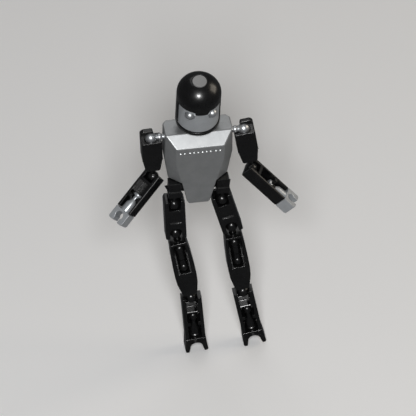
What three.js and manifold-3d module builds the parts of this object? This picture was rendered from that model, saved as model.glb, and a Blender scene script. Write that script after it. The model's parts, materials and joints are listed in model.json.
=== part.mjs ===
// Ball-jointed humanoid robot kit: a faceted two-part torso, a capsule head with two ball eyes,
// arms that end in C-shaped claws and legs that end in fork-shaped feet. Every limb piece clips
// onto the ball of a stud, and every stud turns in the piece above it.
//
// Millimetres, +Z up. The figure stands on its feet and faces -Y, so its left side is at +X.
// Each limb piece is drawn in its own frame: origin at the ball it hangs from, -Z along the limb,
// -Y towards the side that its channel opens to.

import * as THREE from 'three';
import { ConvexGeometry } from 'three/addons/geometries/ConvexGeometry.js';
import { mergeVertices } from 'three/addons/utils/BufferGeometryUtils.js';
import Module from 'manifold-3d';

const wasm = await Module();
wasm.setup();

// ---- Driving dimensions ------------------------------------------------------------------

const GAP = 0.3; // clearance between neighbouring pieces
const WALL = 1.6; // moulded wall of the torso shells
const ROUND = 12; // sides of a turned piece

const ARM_BALL = 3.0; // ball radii
const LEG_BALL = 3.2;
const NECK_BALL = 3.4;
const ARM_NECK = 1.35; // radii of the necks behind the balls
const LEG_NECK = 1.45;

const HIP = { x: 12.3, y: -6 }; // the hip balls are at z = 0 in the torso frame
const SHOULDER = { x: 23.6, z: 42 };
const TORSO_TOP = 47.5;
const NECK_HEIGHT = 54.2; // neck ball
const NECK_BEAD = 39; // retaining bead of the neck stud

const UPPER_ARM = 26.5; // ball-to-ball lengths
const FOREARM = 22; // elbow ball to wrist face
const HIP_LINK = 20.5;
const THIGH = 49;
const SHIN = 27.6; // ankle ball to the face that the foot turns on
const FOOT = 9.8;

// The pose the figure stands in, in degrees. A tilt moves the lower end of a piece towards +X
// and a pitch moves it forwards.
const POSE = {
  lean: 0.68, // of the torso, towards its left
  nod: 8,
  left: {
    upperArm: { tilt: 8, pitch: 6 },
    forearm: { drop: 48.3, heading: -27.1, roll: -6 },
    hipLink: { tilt: 14, pitch: 0 },
    thigh: { tilt: 7.2, pitch: 0 },
    shin: { tilt: 9.8, pitch: 0 },
  },
  right: {
    upperArm: { tilt: 2, pitch: 2 },
    forearm: { drop: 52, heading: -151, roll: -12 },
    hipLink: { tilt: 2.2, pitch: 0 },
    thigh: { tilt: 9.4, pitch: 0 },
    shin: { tilt: 4.3, pitch: 0 },
  },
};

const BLACK = { color: 0x101112, roughness: 0.34, metalness: 0.0 };
const SILVER = { color: 0x8b9093, roughness: 0.42, metalness: 0.55 };
const BRIGHT = { color: 0xb4b9bc, roughness: 0.36, metalness: 0.6 };
const GREY = { color: 0x8d8f90, roughness: 0.5, metalness: 0.1 };
const STEEL = { color: 0x9a9a98, roughness: 0.35, metalness: 0.9 };

// ---- Solid modelling helpers -------------------------------------------------------------

/** Closed three.js geometry -> manifold solid. */
function solid(geometry) {
  const bare = geometry.index ? geometry.toNonIndexed() : geometry.clone();
  bare.deleteAttribute('normal');
  bare.deleteAttribute('uv');
  const merged = mergeVertices(bare, 1e-4);
  const index = merged.index.array;
  const triangles = [];
  for (let i = 0; i < index.length; i += 3) {
    const [a, b, c] = [index[i], index[i + 1], index[i + 2]];
    if (a !== b && b !== c && c !== a) triangles.push(a, b, c);
  }
  return new wasm.Manifold(new wasm.Mesh({
    numProp: 3,
    vertProperties: Float32Array.from(merged.attributes.position.array),
    triVerts: Uint32Array.from(triangles),
  }));
}

const join = (...solids) => solids.reduce((sum, next) => sum.add(next));
const cut = (body, ...tools) => tools.reduce((rest, tool) => rest.subtract(tool), body);

/** Box between two stations on each axis, given in either order. */
function box(xs, ys, zs) {
  const [x, y, z] = [xs, ys, zs].map((pair) => [Math.min(...pair), Math.max(...pair)]);
  const geometry = new THREE.BoxGeometry(x[1] - x[0], y[1] - y[0], z[1] - z[0]);
  geometry.translate((x[0] + x[1]) / 2, (y[0] + y[1]) / 2, (z[0] + z[1]) / 2);
  return solid(geometry);
}

/** Cylinder or cone along an axis, between two stations; at = its place on the other two axes. */
function rod(axis, radii, from, to, at = [0, 0]) {
  const [start, end] = Array.isArray(radii) ? radii : [radii, radii];
  const geometry = new THREE.CylinderGeometry(end, start, Math.abs(to - from), ROUND);
  if (to < from) geometry.rotateX(Math.PI);
  geometry.translate(0, (from + to) / 2, 0);
  if (axis === 'x') geometry.rotateZ(-Math.PI / 2).translate(0, at[0], at[1]);
  if (axis === 'y') geometry.translate(at[0], 0, at[1]);
  if (axis === 'z') geometry.rotateX(Math.PI / 2).translate(at[0], at[1], 0);
  return solid(geometry);
}

function ball(radius, centre = [0, 0, 0], sides = ROUND) {
  const geometry = new THREE.SphereGeometry(radius, sides, Math.round(sides * 0.6));
  return solid(geometry.rotateX(Math.PI / 2).translate(...centre));
}

/** Smooth bead of a stud: a ball with fewer facets. */
const bead = (radius, z) => ball(radius, [0, 0, z], 10);

/** Solid of revolution about Z from [radius, z] points that start and end on the axis. */
function turned(profile, sides) {
  const points = profile.map(([radius, z]) => new THREE.Vector2(radius, z));
  return solid(new THREE.LatheGeometry(points, sides).rotateX(Math.PI / 2));
}

/** Outline in X and Z (a THREE.Shape or a list of points), extruded along Y. */
function extrudedAlongY(outline, y0, y1) {
  const shape = Array.isArray(outline)
    ? new THREE.Shape(outline.map(([x, z]) => new THREE.Vector2(x, z)))
    : outline;
  const options = { depth: y1 - y0, bevelEnabled: false, curveSegments: 8 };
  return solid(new THREE.ExtrudeGeometry(shape, options).rotateX(Math.PI / 2).translate(0, y1, 0));
}

/** Outline in X and Y, extruded along Z. */
function extrudedAlongZ(outline, z0, z1) {
  const shape = new THREE.Shape(outline.map(([x, y]) => new THREE.Vector2(x, y)));
  const geometry = new THREE.ExtrudeGeometry(shape, { depth: z1 - z0, bevelEnabled: false });
  return solid(geometry.translate(0, 0, z0));
}

const hull = (points) => solid(new ConvexGeometry(points.map((p) => new THREE.Vector3(...p))));

/** Right half of an outline, from the bottom up, mirrored to both sides of x = 0. */
const mirrored = (half) => [...half, ...half.map(([x, z]) => [-x, z]).reverse()];

/** Upright post of a limb: a rectangle with chamfered corners, width 2 * half. */
function post(half, y0, y1, z0, z1, chamfer = 0.8) {
  const outline = mirrored([
    [half - chamfer, y0], [half, y0 + chamfer], [half, y1 - chamfer], [half - chamfer, y1],
  ]);
  return extrudedAlongZ(outline, z0, z1);
}

/** Mesh with its own material. */
function piece(name, body, finish) {
  const { vertProperties, triVerts, numProp } = body.getMesh();
  if (numProp !== 3) throw new Error(`${name} carries more than positions`);
  const geometry = new THREE.BufferGeometry();
  geometry.setAttribute('position', new THREE.BufferAttribute(Float32Array.from(vertProperties), 3));
  geometry.setIndex(new THREE.BufferAttribute(Uint32Array.from(triVerts), 1));
  geometry.computeVertexNormals();
  const mesh = new THREE.Mesh(geometry, new THREE.MeshStandardMaterial({ ...finish }));
  mesh.name = name;
  return mesh;
}

// ---- Torso -------------------------------------------------------------------------------

// Corners of the torso's front half at +X, level by level; s moves them inwards.
const KINK = 31.8; // height of the widest level
const CHEST_LEVELS = {
  top: (s) => [[17.1 - s, -5 + s, TORSO_TOP - s]],
  bevel: (s) => [[12.2 - s * 0.5, -11.2 + s, TORSO_TOP - 5.3 - s * 0.4]],
  kink: (s) => [[17.3 - s, -4.6 + s * 0.4, KINK], [12.1 - s * 0.5, -10.3 + s, KINK]],
  waist: (s) => [[15.1 - s, -3.8 + s * 0.4, 16.5], [8.9 - s * 0.5, -9.1 + s, 16.5]],
};
const SPLIT = 0.15; // each shell stops this far from the parting plane y = 0

const bothSides = (points) => points.flatMap(([x, y, z]) => [[x, y, z], [-x, y, z]]);

/** Faceted front half of the torso, down to the waist. */
function chestBlock(shrink, parting) {
  const { top, bevel, kink, waist } = CHEST_LEVELS;
  const edge = (level) => level(shrink).slice(0, 1).map(([x, , z]) => [x, parting, z]);
  const upper = [top, bevel, kink].flatMap((level) => level(shrink));
  const lower = [kink, waist].flatMap((level) => level(shrink));
  return join(
    hull(bothSides([...upper, ...edge(top), ...edge(kink)])),
    hull(bothSides([...lower, ...edge(kink), ...edge(waist)])),
  );
}

const SCREWS = [[-9.5, 35.6], [9.5, 35.6], [-9.5, 22.6], [9.5, 22.6]];

/** Holes along the parting plane for the shoulder studs and the neck stud. */
const studHoles = () => [
  rod('x', 1.75, -20, 20, [0, SHOULDER.z]),
  rod('z', 2.4, TORSO_TOP - 4, TORSO_TOP + 1),
];

function chestShell() {
  const shield = hull(bothSides([
    [8.9, -9.1, 16.5], [8.9, -4.8, 16.5], [9.4, -9.3, 19], [9.4, -4.8, 19],
    [6, -8, 3.4], [6, -5.4, 3.4], [5, -7.9, 2], [5, -5.4, 2],
  ]));
  const hollow = join(
    chestBlock(WALL, 1),
    box([-13.2, 13.2], [-3.4, 1], [15, 18]), // open bottom that the pelvis passes through
    box([-8.6, 8.6], [-4.5, 1], [15, 19.5]),
  );
  const posts = SCREWS.map(([x, z]) => rod('y', 2.2, -9.5, -SPLIT, [x, z]));
  const bores = SCREWS.map(([x, z]) => rod('y', 1.1, -7, 1, [x, z]));
  const skin = join(chestBlock(0, -SPLIT), shield);
  const inner = cut(hollow, box([-20, 20], [-SPLIT, 2], [0, 60]));
  const framed = join(cut(skin, hollow), ...posts.map((p) => p.intersect(join(inner, skin))));
  return cut(framed, ...bores, ...studHoles());
}

/** Rounded back half of the torso. */
function backBlock(shrink, parting) {
  const s = shrink;
  const sections = [
    [[17.1 - s, 4 - s, TORSO_TOP - s], [15.2 - s, 6 - s, TORSO_TOP - s]],
    [[17.3 - s, 3.8 - s, KINK], [14.6 - s, 6.6 - s, KINK]],
    [[15.1 - s, 2.6 - s, 16.5], [12 - s, 5.6 - s, 16.5]],
  ].map((level) => [...level, [level[0][0], parting, level[0][2]]]);
  return join(
    hull(bothSides([...sections[0], ...sections[1]])),
    hull(bothSides([...sections[1], ...sections[2]])),
  );
}

function backShell() {
  const apron = hull(bothSides([
    [12, 5.6, 16.5], [12, 4, 16.5], [12.2, 5.7, 19], [12.2, 4.2, 19],
    [8, 5, 9], [8, 3.8, 9], [7.4, 4.8, 8], [7.4, 3.8, 8],
  ]));
  const hollow = join(backBlock(WALL, -1), box([-13.2, 13.2], [-1, 3.8], [15, 18]));
  const posts = SCREWS.map(([x, z]) => rod('y', 2.2, SPLIT, 5.5, [x, z]));
  const bores = SCREWS.flatMap(([x, z]) => [
    rod('y', 1.1, -1, 8, [x, z]),
    rod('y', 1.9, 4.7, 9, [x, z]),
  ]);
  const skin = join(backBlock(0, SPLIT), apron);
  const framed = join(cut(skin, hollow), ...posts.map((p) => p.intersect(join(hollow, skin))));
  return cut(framed, ...bores, ...studHoles(), box([-20, 20], [-2, SPLIT], [0, 60]));
}

const BOSS_BOTTOM = 6.9; // clears the corners of a hip link as it swings

/** Black frame inside the torso: bearings of the neck and shoulders, and the hip bosses. */
function spineFrame() {
  const bosses = [-HIP.x, HIP.x].flatMap((x) => [
    box([x - 3.1, x + 3.1], [HIP.y - 2.9, HIP.y + 2.7], [BOSS_BOTTOM, 16.1]),
    box([x - 3.3, x + 3.3], [HIP.y - 3.5, HIP.y + 2.7], [BOSS_BOTTOM, 10.7]), // collar
    box([x, x * 0.5], [-4.2, -1], [BOSS_BOTTOM, 16.1]),
  ]);
  const body = join(
    box([-11.3, 11.3], [-2.9, 2.9], [39.4, 44.4]),
    box([-4.5, 4.5], [-1.9, 1.9], [19, 41]),
    box([-8.2, 8.2], [-4.1, 3.4], [6.2, 19.2]),
    ...bosses,
  );
  const bores = [-1, 1].flatMap((side) => [
    rod('x', 1.75, side * 7, side * 14, [0, SHOULDER.z]),
    rod('z', LEG_NECK + GAP, 0, 13.4, [side * HIP.x, HIP.y]),
    ball(2.35, [side * HIP.x, HIP.y, 10.6], 12),
  ]);
  return cut(body, ...bores, rod('z', 2.1, 35.5, 45), ball(2.75, [0, 0, NECK_BEAD], 12));
}

/** Screw that holds the back shell to a post of the chest shell. */
const backScrew = () => {
  const slot = box([-1, 1], [5.4, 7], [-0.25, 0.25]);
  return cut(join(rod('y', 0.8, -6.6, 5.2), rod('y', 1.55, 5, 5.8)), slot);
};

/** Stud that runs out of the torso along X; side is +1 on the figure's left. */
function shoulderStud(side) {
  const inwards = (distance) => -side * distance;
  return join(
    ball(ARM_BALL),
    rod('x', 1.4, 0, inwards(15.3)),
    ball(1.85, [inwards(4.4), 0, 0], 12),
    rod('x', 2.6, inwards(10.3), inwards(11.5)),
  );
}

// ---- Head --------------------------------------------------------------------------------

const HEAD = { radius: 11.2, bottom: -2.2, side: 21, dome: 9.3, inner: 10 };
const FACE = { radius: 9.7, thickness: 1.4, pad: 10.6 };
const EYE = { radius: 2.45, x: 5.65, y: -8.3, z: 11.6 };

/** Capsule profile from the axis out, up the side and over the dome back to the axis. */
function capsule(radius, bottom, shoulder, dome) {
  const steps = 6;
  const arc = Array.from({ length: steps + 1 }, (_, i) => {
    const angle = (i / steps) * (Math.PI / 2);
    return [i === steps ? 0 : radius * Math.cos(angle), shoulder + dome * Math.sin(angle)];
  });
  return turned([[0, bottom], [radius, bottom], ...arc], 24);
}

function helmetShell() {
  const { radius, bottom, side, dome, inner } = HEAD;
  const shoulder = bottom + side;
  const windowHalf = [[12, bottom + 1.7], [12, bottom + 18], [3.7, bottom + 18], [3, bottom + 16]];
  return cut(
    capsule(radius, bottom, shoulder, dome),
    capsule(inner, bottom - 1, shoulder, dome - 3),
    extrudedAlongY(mirrored(windowHalf), -13, -2),
    rod('z', 3.9, shoulder + dome - 1.4, shoulder + dome + 1),
    rod('z', 1.8, shoulder, shoulder + dome),
  );
}

/** Curved face insert behind the helmet window. */
function facePlate() {
  const z0 = HEAD.bottom + 1.6;
  const z1 = HEAD.bottom + 19.2;
  const inside = FACE.radius - FACE.thickness;
  const wall = [[inside, z0], [FACE.radius, z0], [FACE.radius, z1], [inside, z1], [inside, z0]];
  const ring = cut(turned(wall, 24), box([-12, 12], [-0.9, 12], [-10, 30]));
  const [low, high] = [HEAD.bottom + 2, HEAD.bottom + 17.7]; // of the raised pad in the window
  const pad = [[9.2, low], [FACE.pad, low], [FACE.pad, high], [9.2, high], [9.2, low]];
  const raised = cut(
    turned(pad, 24),
    box([-12, 12], [-2.3, 12], [-10, 30]),
    box([-4.1, 4.1], [-13, -2], [HEAD.bottom + 15.7, 30]), // room for the brow tab
  );
  const sockets = [-EYE.x, EYE.x].map((x) => ball(EYE.radius + GAP, [x, EYE.y, EYE.z]));
  return cut(join(ring, raised), ...sockets);
}

/** Ball eye with a flange behind the face insert, drawn along -Y. */
function eye() {
  return join(ball(EYE.radius), rod('y', 1.5, 0, 2.6), rod('y', 2.6, 2.6, 3.5));
}

/** Disc that closes the hole in the crown. */
function crownPlug() {
  const top = HEAD.bottom + HEAD.side + HEAD.dome;
  return join(rod('z', [3.6, 3.3], top - 1.1, top - 0.1), rod('z', 1.5, top - 5, top - 1));
}

/** Plate in the bottom of the helmet with the socket of the neck ball. */
function neckSocket() {
  return cut(
    join(rod('z', FACE.radius, HEAD.bottom, HEAD.bottom + 1.3), rod('z', 5.2, HEAD.bottom, 5)),
    ball(NECK_BALL + 0.35),
    rod('z', [3.4, 3.0], HEAD.bottom - 0.1, HEAD.bottom + 0.4),
  );
}

function neckStud() {
  const top = TORSO_TOP - NECK_HEIGHT; // torso top in the frame of the neck ball
  return join(
    ball(NECK_BALL),
    rod('z', 1.9, top, 0),
    rod('z', 3.4, top + GAP, top + 1.3),
    rod('z', 1.7, top - 11.5, top + 1),
    bead(2.3, NECK_BEAD - NECK_HEIGHT),
  );
}

// ---- Arms --------------------------------------------------------------------------------

function upperArm(side) {
  const inwards = (distance) => -side * distance;
  const body = join(
    post(5.2, -4, 4, -12, -0.6),
    hull(bothSides([
      [5.2, -3.2, -12], [5.2, 3.2, -12], [4.4, -4, -12], [4.4, 4, -12],
      [3.8, -2.8, -19.8], [3.8, 2.8, -19.8], [3, -3.6, -19.8], [3, 3.6, -19.8],
    ])),
  );
  const hood = hull([
    ...[5.2, -1.5].flatMap((x) => [[-inwards(x), -0.5, -1], [-inwards(x), 4, -1]]),
    ...[5.2, -1.5].flatMap((x) => [[-inwards(x), -0.5, 2.6], [-inwards(x), 3.2, 2.6]]),
    ...[3.9, -1.1].flatMap((x) => [[-inwards(x), -0.5, 4.6], [-inwards(x), 2.2, 4.6]]),
  ]);
  return cut(
    join(body, hood),
    ball(ARM_BALL + 0.35),
    box([inwards(1), inwards(6)], [-2.2, 2.2], [-2.7, 2]), // notch that the stud lies in
    rod('z', 2, -20, -11.3),
    ball(2.75, [0, 0, -15.5], 12),
  );
}

/** Stud between the upper arm and the forearm. */
function elbowStud() {
  return join(
    ball(ARM_BALL),
    rod('z', ARM_NECK, 0, 8),
    rod('z', 1.65, 7.2, UPPER_ARM - 11.8),
    bead(2.35, UPPER_ARM - 15.5),
  );
}

function forearmChannel() {
  return cut(
    post(4.7, -3.3, 4, -FOREARM, 1.8),
    box([-2.85, 2.85], [-4, 2.9], [-3, 2]),
    ball(ARM_BALL + 0.35),
    box([-3.35, 3.35], [-4, 2.9], [-13.2, -4.6]),
    box([-3.35, 3.35], [-4, 3.1], [-22, -15]),
    box([-1.65, 1.65], [-4, 0], [-15.2, -13]), // yoke round the neck of the hand
    rod('z', 1.65, -15.2, -13),
  );
}

/** Hand: flanged stem that turns in the forearm and a C-shaped claw; origin at the wrist. */
function handClaw() {
  const claw = new THREE.Shape();
  claw.moveTo(-4.5, -GAP);
  claw.lineTo(-4.5, -6.2);
  claw.absarc(-3.3, -6.2, 1.2, Math.PI, Math.PI * 1.5);
  claw.lineTo(-1.5, -7.4);
  claw.lineTo(-1.5, -5.08);
  claw.absarc(0, -3.6, 2.1, Math.PI * 1.247, -Math.PI * 0.247, true);
  claw.lineTo(1.5, -7.4);
  claw.lineTo(3.3, -7.4);
  claw.absarc(3.3, -6.2, 1.2, Math.PI * 1.5, Math.PI * 2);
  claw.lineTo(4.5, -GAP);
  return join(
    extrudedAlongY(claw, -3.3, 3.8),
    rod('z', [2.9, 2.6], -0.5, 4.4),
    rod('z', [2.6, ARM_NECK - 0.1], 4.4, 6.4),
    rod('z', ARM_NECK - 0.1, 6, 9.8),
    rod('z', 2.3, FOREARM - 12.7, FOREARM - 11.5),
  );
}

// ---- Legs --------------------------------------------------------------------------------

const SOCKET = LEG_BALL + 0.35;
const FRONT = -3.6; // depth of the leg channels
const BACK = 4;
const FLOOR = 2.9; // inner face of their back wall

/** Double socket between the hip ball and the knee ball. */
function hipLink() {
  const outline = mirrored([
    [5.3, -HIP_LINK - 1.5], [5.3, 2.4], [4.4, 4.2],
  ]);
  const outer = extrudedAlongY(outline, FRONT, BACK).intersect(post(5.3, FRONT, BACK, -30, 10));
  const arch = new THREE.Shape();
  arch.moveTo(-3.1, -HIP_LINK - 3);
  arch.lineTo(3.1, -HIP_LINK - 3);
  arch.lineTo(3.1, -HIP_LINK + 2.4);
  arch.absarc(0, -HIP_LINK + 2.4, 3.1, 0, Math.PI);
  return cut(
    outer,
    box([-3.1, 3.1], [FRONT - 1, FLOOR], [-2.6, 5]),
    ball(SOCKET),
    box([-3.1, 3.1], [FRONT - 1, FRONT + 0.7], [-11.4, -4.4]), // recessed face
    extrudedAlongY(arch, FRONT - 1, FLOOR),
    ball(SOCKET, [0, 0, -HIP_LINK]),
    box([-2.3, 2.3], [0, BACK + 1], [-HIP_LINK - 3, -HIP_LINK + 0.6]), // lets the knee bend
  );
}

/** Stud with a ball at one end and a beaded shaft; length runs from the ball to its free end. */
function limbStud(beadAt, length, up) {
  return join(
    ball(LEG_BALL),
    rod('z', LEG_NECK, 0, up * beadAt),
    bead(2.8, up * beadAt),
    rod('z', 2.5, up * beadAt, up * length),
  );
}

const hipStud = () => join(ball(LEG_BALL), rod('z', LEG_NECK, 0, 12.8), bead(1.95, 10.6));

const LOWER_BEAD = -25.7; // bead of the ankle stud, below the knee ball

/** Barrel-shaped thigh with a window onto the two studs that turn in it. */
function thighShell() {
  const profile = mirrored([
    [3.4, -THIGH + 5.1], [4.3, -39.9], [5.3, -34.4], [5.6, -29], [5.3, -17.5], [4.8, -9], [4.2, -5.3],
  ]);
  return cut(
    extrudedAlongY(profile, -4.1, 4.1),
    box([-3.5, 3.5], [-6, FLOOR + 0.2], [-27.4, -6.8]),
    rod('z', LEG_NECK + 0.45, -8, -4),
    ball(3.1, [0, 0, LOWER_BEAD]),
    rod('z', LEG_NECK + 0.45, -THIGH, -27),
  );
}

const ankleStud = () => limbStud(THIGH + LOWER_BEAD, THIGH - 19.2, 1);
const kneeStud = () => limbStud(12.2, 18.9, -1);

function shinChannel() {
  const side = [[BACK, -SHIN], [BACK, -0.6], [1.8, 1.5], [FRONT, 1.5], [FRONT, -SHIN]];
  const shape = new THREE.Shape(side.map(([y, z]) => new THREE.Vector2(y, z)));
  const slab = new THREE.ExtrudeGeometry(shape, { depth: 12, bevelEnabled: false });
  slab.rotateX(Math.PI / 2).rotateZ(Math.PI / 2).translate(-6, 0, 0);
  const steps = [[-4.2, 1.8], [-5.6, 0], [-7.9, -1.6]] // height of each tread, and how deep it reaches
    .map(([z, depth]) => box([-3.1, 1], [FRONT - 1, depth], [z, -2]));
  return cut(
    post(5.2, FRONT, BACK, -SHIN, 1.5).intersect(solid(slab)),
    box([-3.1, 3.1], [FRONT - 1, FLOOR], [-2.6, 3]),
    ball(SOCKET),
    ...steps,
    box([0.8, 1.8], [FRONT - 1, 1.8], [-7.9, -2]), // slot between the steps and the rib
    box([-3.4, 3.4], [FRONT - 1, FLOOR + 0.2], [-16.1, -8.8]),
    box([-3.4, 3.4], [FRONT - 1, FLOOR + 0.4], [-SHIN - 1, -18.3]),
    box([-1.9, 1.9], [FRONT - 1, 0], [-18.5, -15.9]), // yoke round the neck of the foot
    rod('z', 1.9, -18.5, -15.9),
    box([-2.3, 2.3], [0, BACK + 1], [-0.6, 3]), // lets the ankle bend
  );
}

/** Fork-shaped foot on a bell-shaped stem; origin on the axis where the shin ends. */
function footClip() {
  const bottom = -FOOT;
  const fork = new THREE.Shape();
  fork.moveTo(-5.2, -GAP);
  fork.lineTo(-5.9, bottom + 1.1);
  fork.absarc(-4.8, bottom + 1.1, 1.1, Math.PI, Math.PI * 1.5);
  fork.lineTo(-4, bottom);
  fork.lineTo(-3.25, bottom + 3.2);
  fork.absarc(0, bottom + 3.2, 3.25, Math.PI, 0, true);
  fork.lineTo(4, bottom);
  fork.lineTo(4.8, bottom);
  fork.absarc(4.8, bottom + 1.1, 1.1, Math.PI * 1.5, Math.PI * 2);
  fork.lineTo(5.2, -GAP);
  return join(
    extrudedAlongY(fork, FRONT - 0.3, BACK - 0.3),
    rod('z', [3, 2.7], -0.5, 2.6),
    rod('z', [2.7, 1.5], 2.6, 9),
    rod('z', 1.5, 8.5, 13.7),
    bead(2.5, 13.7),
  );
}

// ---- Assembly ----------------------------------------------------------------------------

const radians = THREE.MathUtils.degToRad;

/** Unit vector down a limb from its tilt towards +X and its forward pitch. */
function downFrom({ tilt, pitch }) {
  const [t, p] = [radians(tilt), radians(pitch)];
  return new THREE.Vector3(Math.sin(t), -Math.cos(t) * Math.sin(p), -Math.cos(t) * Math.cos(p));
}

/** Group whose -Z runs along down and whose -Y faces front as nearly as it can. */
function frame(name, origin, down, front, ...children) {
  const z = down.clone().negate().normalize();
  const x = front.clone().negate().cross(z).normalize();
  const y = z.clone().cross(x);
  const group = new THREE.Group();
  group.name = name;
  group.quaternion.setFromRotationMatrix(new THREE.Matrix4().makeBasis(x, y, z));
  group.position.copy(origin);
  group.add(...children);
  return group;
}

/** Point or direction of the torso's own frame, as the torso leans. */
const leaned = (x, y, z) => new THREE.Vector3(x, y, z)
  .applyAxisAngle(new THREE.Vector3(0, 1, 0), radians(POSE.lean));

const FORWARD = new THREE.Vector3(0, -1, 0);
const TORSO_DOWN = leaned(0, 0, -1);
const along = (origin, down, distance) => origin.clone().addScaledVector(down, distance);

function arm(name, side, pose) {
  const shoulder = leaned(side * SHOULDER.x, 0, SHOULDER.z);
  const upper = downFrom(pose.upperArm);
  const elbow = along(shoulder, upper, UPPER_ARM);
  const { drop, heading, roll } = pose.forearm;
  const lower = new THREE.Vector3(0, 0, -1)
    .applyAxisAngle(new THREE.Vector3(0, 1, 0), -radians(drop))
    .applyAxisAngle(new THREE.Vector3(0, 0, 1), radians(heading));
  const openSide = new THREE.Vector3(0, 0, 1).projectOnPlane(lower).applyAxisAngle(lower, radians(roll));
  const wrist = along(elbow, lower, FOREARM);
  return [
    frame(`${name}_shoulder`, shoulder, TORSO_DOWN, FORWARD,
      piece(`${name}_shoulder_stud`, shoulderStud(side), BRIGHT)),
    frame(`${name}_upper_arm_frame`, shoulder, upper, FORWARD,
      piece(`${name}_upper_arm`, upperArm(side), BLACK)),
    frame(`${name}_elbow`, elbow, upper, FORWARD,
      piece(`${name}_elbow_stud`, elbowStud(), BLACK)),
    frame(`${name}_forearm_frame`, elbow, lower, openSide,
      piece(`${name}_forearm_channel`, forearmChannel(), BLACK)),
    frame(`${name}_wrist`, wrist, lower, openSide,
      piece(`${name}_hand_claw`, handClaw(), BRIGHT)),
  ];
}

function leg(name, side, pose) {
  const hip = leaned(side * HIP.x, HIP.y, 0);
  const [link, thigh, shin] = [pose.hipLink, pose.thigh, pose.shin].map(downFrom);
  const knee = along(hip, link, HIP_LINK);
  const ankle = along(knee, thigh, THIGH);
  const sole = along(ankle, shin, SHIN);
  return [
    frame(`${name}_hip`, hip, TORSO_DOWN, FORWARD, piece(`${name}_hip_stud`, hipStud(), BLACK)),
    frame(`${name}_hip_link_frame`, hip, link, FORWARD, piece(`${name}_hip_link`, hipLink(), BLACK)),
    frame(`${name}_knee`, knee, thigh, FORWARD,
      piece(`${name}_knee_stud`, kneeStud(), BLACK),
      piece(`${name}_thigh_shell`, thighShell(), BLACK)),
    frame(`${name}_ankle`, ankle, thigh, FORWARD, piece(`${name}_ankle_stud`, ankleStud(), BLACK)),
    frame(`${name}_shin_frame`, ankle, shin, FORWARD,
      piece(`${name}_shin_channel`, shinChannel(), BLACK)),
    frame(`${name}_foot_frame`, sole, shin, FORWARD, piece(`${name}_foot_clip`, footClip(), BLACK)),
  ];
}

function head() {
  const centre = leaned(0, 0, NECK_HEIGHT);
  const nod = radians(POSE.nod);
  const facing = leaned(0, -Math.cos(nod), -Math.sin(nod));
  const down = leaned(0, Math.sin(nod), -Math.cos(nod));
  const turn = Math.atan2(EYE.x, -EYE.y);
  const eyes = [['left', 1], ['right', -1]].map(([name, side]) => {
    const mesh = piece(`${name}_eye`, eye(), BRIGHT);
    mesh.position.set(side * EYE.x, EYE.y, EYE.z);
    mesh.rotation.z = side * turn;
    return mesh;
  });
  return [
    frame('neck', centre, TORSO_DOWN, FORWARD, piece('neck_stud', neckStud(), BLACK)),
    frame('head', centre, down, facing,
      piece('helmet_shell', helmetShell(), BLACK),
      piece('face_plate', facePlate(), BRIGHT),
      piece('crown_plug', crownPlug(), GREY),
      piece('neck_socket', neckSocket(), BLACK),
      ...eyes),
  ];
}

function torso() {
  const screws = SCREWS.map(([x, z], i) => {
    const mesh = piece(`back_screw_${i + 1}`, backScrew(), STEEL);
    mesh.position.set(x, 0, z);
    return mesh;
  });
  const group = new THREE.Group();
  group.name = 'torso';
  group.rotation.y = radians(POSE.lean);
  group.add(
    piece('chest_shell', chestShell(), SILVER),
    piece('back_shell', backShell(), SILVER),
    piece('spine_frame', spineFrame(), BLACK),
    ...screws,
  );
  return group;
}

const figure = new THREE.Group();
figure.add(
  torso(),
  ...head(),
  ...arm('left', 1, POSE.left),
  ...arm('right', -1, POSE.right),
  ...leg('left', 1, POSE.left),
  ...leg('right', -1, POSE.right),
);

// The origin is the middle of the bottom of the figure's bounding box.
const bounds = new THREE.Box3().setFromObject(figure, true);
const middle = bounds.getCenter(new THREE.Vector3());
figure.position.set(-middle.x, -middle.y, -bounds.min.z);

const robot = new THREE.Group();
robot.name = 'humanoid_robot_kit';
robot.add(figure);

export default robot;
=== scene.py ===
"""Looks of the humanoid robot kit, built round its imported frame.

Every piece is drawn in millimetres in the frame of its own limb: the origin is the joint it hangs
from, -Z runs along the limb and -Y faces the side that its channel opens to. The joints of the
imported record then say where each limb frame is.
"""

import json
import math

import bmesh
import bpy
from mathutils import Matrix, Vector


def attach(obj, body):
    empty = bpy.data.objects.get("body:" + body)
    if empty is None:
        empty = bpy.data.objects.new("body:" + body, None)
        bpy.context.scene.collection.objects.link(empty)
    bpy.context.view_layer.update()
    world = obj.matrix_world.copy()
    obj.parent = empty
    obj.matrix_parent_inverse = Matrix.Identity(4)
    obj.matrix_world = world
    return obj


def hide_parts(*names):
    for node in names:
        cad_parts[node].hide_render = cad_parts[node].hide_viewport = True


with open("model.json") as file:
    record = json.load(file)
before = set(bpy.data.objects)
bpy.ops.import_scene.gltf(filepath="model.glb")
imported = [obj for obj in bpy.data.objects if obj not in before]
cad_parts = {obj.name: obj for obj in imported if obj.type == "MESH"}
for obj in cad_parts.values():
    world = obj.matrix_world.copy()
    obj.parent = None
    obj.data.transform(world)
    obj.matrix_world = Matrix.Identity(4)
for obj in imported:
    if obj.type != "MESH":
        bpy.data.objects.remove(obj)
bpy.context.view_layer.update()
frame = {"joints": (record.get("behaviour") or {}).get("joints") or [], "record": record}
JOINTS = {joint["name"]: joint for joint in frame["joints"]}
SIDES = {"left": 1, "right": -1}
MM = 0.001
radians = math.radians

# ---- Dimensions, in millimetres -----------------------------------------------------------

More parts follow.
